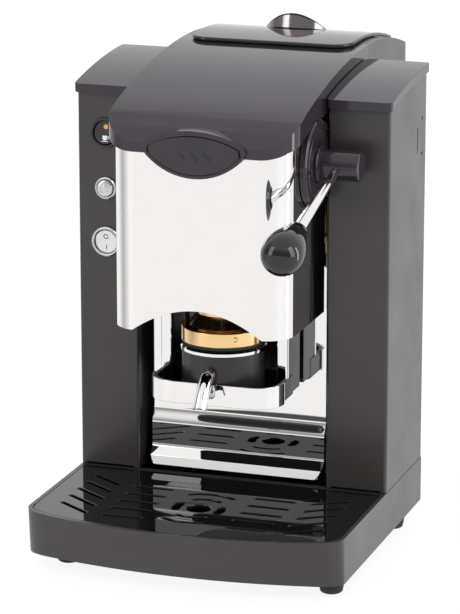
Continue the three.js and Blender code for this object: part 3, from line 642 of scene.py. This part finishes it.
def feet_and_screws():
    """Rubber feet with a moulded groove, and cross-headed screws in the rear housing."""
    profile = [(0, 0), (6.6, 0), (7.4, 0.5), (7.9, 1.2), (8.5, 4.4), (8.2, 5), (8.7, 5.5),
               (9.4, 9.6), (0, 9.6)]
    for name in nodes_named("foot_"):
        low, high = (Vector(corner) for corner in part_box(name))
        x, y = (low.x + high.x) / 2 / MM, design_y((low.y + high.y) / 2)
        piece(name.replace("foot", "rubber"), turned(profile, (x, y, 0), UP, 48), "rubber", "chassis", name,
              edge=0.2)
    head = [(0, 0.3), (3, 0.3), (3.05, 0.9), (2.6, 1.7), (1.7, 2.2), (0, 2.3)]
    for name in nodes_named("screw_"):
        low, high = (Vector(corner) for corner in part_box(name))
        x, z = (low.x + high.x) / 2 / MM, (low.z + high.z) / 2 / MM
        y = design_y(low.y) - 0.3
        made = piece(name.replace("screw", "bolt"), turned(head, (x, y, z), BACKWARD, 40), "steel", "chassis",
                     name, edge=0.1)
        for i, (across, tall) in enumerate(((3, 0.7), (0.7, 3))):
            block = prism([(x - across / 2, z - tall / 2), (x + across / 2, z - tall / 2),
                           (x + across / 2, z + tall / 2), (x - across / 2, z + tall / 2)],
                          y + 1.2, y + 4, "xz")
            carve(made, block)


for build in (lever, controls, group, shell, cradle, columns, back_plate, spout, badge, rockers, lids, pull,
              feet_and_screws):
    build()

# ---- camera, floor and light ----
camera = bpy.data.objects.new("camera", bpy.data.cameras.new("camera"))
bpy.context.collection.objects.link(camera)
camera.location = at(703.2, -2091.7, 753.8)
camera.rotation_euler = (math.radians(90 - 14.81), 0, math.radians(18.61))
camera.data.lens = 189.15
camera.data.clip_end = 50
bpy.context.scene.camera = camera

floor_mesh = bpy.data.meshes.new("floor")
reach, under_feet = 12, -0.0002
floor_mesh.from_pydata([(x, y, under_feet) for x, y in ((-reach, -reach), (reach, -reach), (reach, reach),
                                                        (-reach, reach))], [], [(0, 1, 2, 3)])
floor = bpy.data.objects.new("floor", floor_mesh)
bpy.context.collection.objects.link(floor)
floor_mesh.materials.append(material("pale_floor", (0.09, 0.09, 0.09), 0.6, grain=(40, 0.01), mottle=0.005,
                                     Emission_Color=(1, 1, 1, 1), Emission_Strength=0.9,
                                     Specular_IOR_Level=0.1))

# A white room to the camera. In reflections it is white behind and above, and dimmer in front.
world = bpy.data.worlds.new("studio")
bpy.context.scene.world = world
world.use_nodes = True
room = world.node_tree
path = node(room, "ShaderNodeLightPath")
seen = node(room, "ShaderNodeBackground", Color=(1, 1, 1, 1), Strength=1.05)
felt = room.nodes["Background"]
felt.inputs["Color"].default_value = grey(1)
direction = node(room, "ShaderNodeSeparateXYZ")
link(room, node(room, "ShaderNodeTexCoord"), "Generated", direction, 0)
behind = node(room, "ShaderNodeMapRange")
above = node(room, "ShaderNodeMapRange")
for source, axis, start, end in ((behind, "Y", -0.25, 0.35), (above, "Z", 0.25, 0.75)):
    source.interpolation_type = "SMOOTHSTEP"
    source.inputs["From Min"].default_value, source.inputs["From Max"].default_value = start, end
    source.inputs["To Min"].default_value, source.inputs["To Max"].default_value = 0.35, 1.05
    link(room, direction, axis, source, "Value")
brighter = node(room, "ShaderNodeMath", operation="MAXIMUM")
link(room, behind, "Result", brighter, 0)
link(room, above, "Result", brighter, 1)
link(room, brighter, "Value", felt, "Strength")
mix = node(room, "ShaderNodeMixShader")
link(room, path, "Is Camera Ray", mix, 0)
link(room, felt, 0, mix, 1)
link(room, seen, 0, mix, 2)
link(room, mix, 0, room.nodes["World Output"], "Surface")
bpy.context.scene.view_settings.view_transform = "Standard"


def softbox(name, place, target, width, height, brightness):
    """A soft rectangle of even brightness. Its power follows from its size."""
    light = bpy.data.lights.new(name, "AREA")
    light.shape = "RECTANGLE"
    light.size, light.size_y = width, height
    light.energy = brightness * width * height * math.pi
    obj = bpy.data.objects.new(name, light)
    bpy.context.collection.objects.link(obj)
    obj.location = place
    obj.rotation_euler = (Vector(target) - Vector(place)).to_track_quat("-Z", "Y").to_euler()
    obj.visible_camera = False
    return obj


softbox("overhead", (0, -1.35, 1.8), (0, -0.1, 0.1), 1.6, 0.5, 4).visible_glossy = False
softbox("front_left", (-0.98, -1.15, 0.8), (0, 0, 0.25), 0.6, 1.3, 2.5)
softbox("far_right", (1.5, -0.5, 0.85), (0, 0, 0.25), 0.8, 1.4, 3)
softbox("low_right", (0.75, 0.1, 0.32), (0, 0, 0.32), 0.12, 0.64, 5)


def faded_card():
    """A grey that is densest along the card's middle and clear at its sides."""
    made = material("grey_card", (0.3, 0.3, 0.3), 0.7)
    tree = made.node_tree
    place = node(tree, "ShaderNodeSeparateXYZ")
    link(tree, node(tree, "ShaderNodeTexCoord"), "Generated", place, 0)
    density = node(tree, "ShaderNodeValToRGB")
    stops = density.color_ramp.elements
    stops[0].color = stops[1].color = grey(0)
    stops.new(0.5).color = grey(0.75)
    link(tree, place, "X", density, "Fac")
    link(tree, density, "Color", tree.nodes["Principled BSDF"], "Alpha")
    return made


def flag(name, place, target, width, height):
    """A grey card that only reflections see. It draws the darker bands in the polished metal."""
    corners = [(-width / 2, 0, 0), (width / 2, 0, 0), (width / 2, height, 0), (-width / 2, height, 0)]
    mesh = bpy.data.meshes.new(name)
    mesh.from_pydata(corners, [], [(0, 1, 2, 3)])
    mesh.materials.append(faded_card())
    card = bpy.data.objects.new(name, mesh)
    bpy.context.collection.objects.link(card)
    card.location = place
    heading = math.atan2(target[1] - place[1], target[0] - place[0])
    card.rotation_euler = (math.radians(90), 0, heading + math.radians(90))
    card.visible_camera = card.visible_diffuse = card.visible_shadow = False


flag("flag_left", (-0.5, -0.18, 0), (0, 0, 0), 0.5, 0.9)
